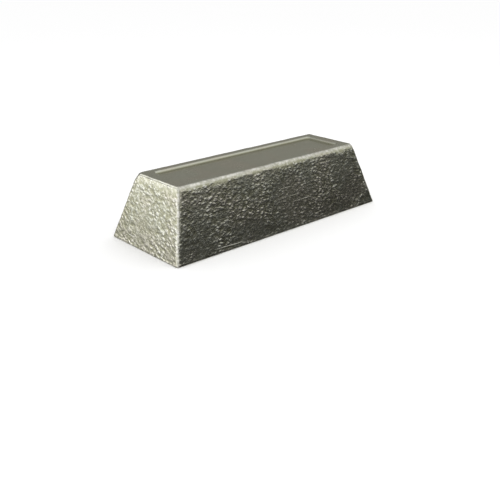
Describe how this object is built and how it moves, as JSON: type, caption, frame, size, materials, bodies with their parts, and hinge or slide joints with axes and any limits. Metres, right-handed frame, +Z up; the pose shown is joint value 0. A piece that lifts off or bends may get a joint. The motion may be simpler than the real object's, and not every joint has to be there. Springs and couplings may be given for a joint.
{
  "type": "steel ingot",
  "caption": "Cast steel bar with drafted ends and sides, rounded edges and a shallow sunk panel in its narrow top face, raw stock for remelting that stacks on its flat base.",
  "frame": {"origin": "centre of the flat base, on the surface that the ingot lies on", "axes": "+X along the ingot's length, +Y across its width, +Z up from the wide base to the narrow face with the sunk panel"},
  "size_m": [0.2992, 0.1156, 0.072],
  "materials": {
    "cast_steel": "bare as-cast steel, warm grey, with a fine hammered skin and edges worn bright"
  },
  "bodies": {
    "root": {"ingot": "cast_steel"}
  },
  "joints": []
}
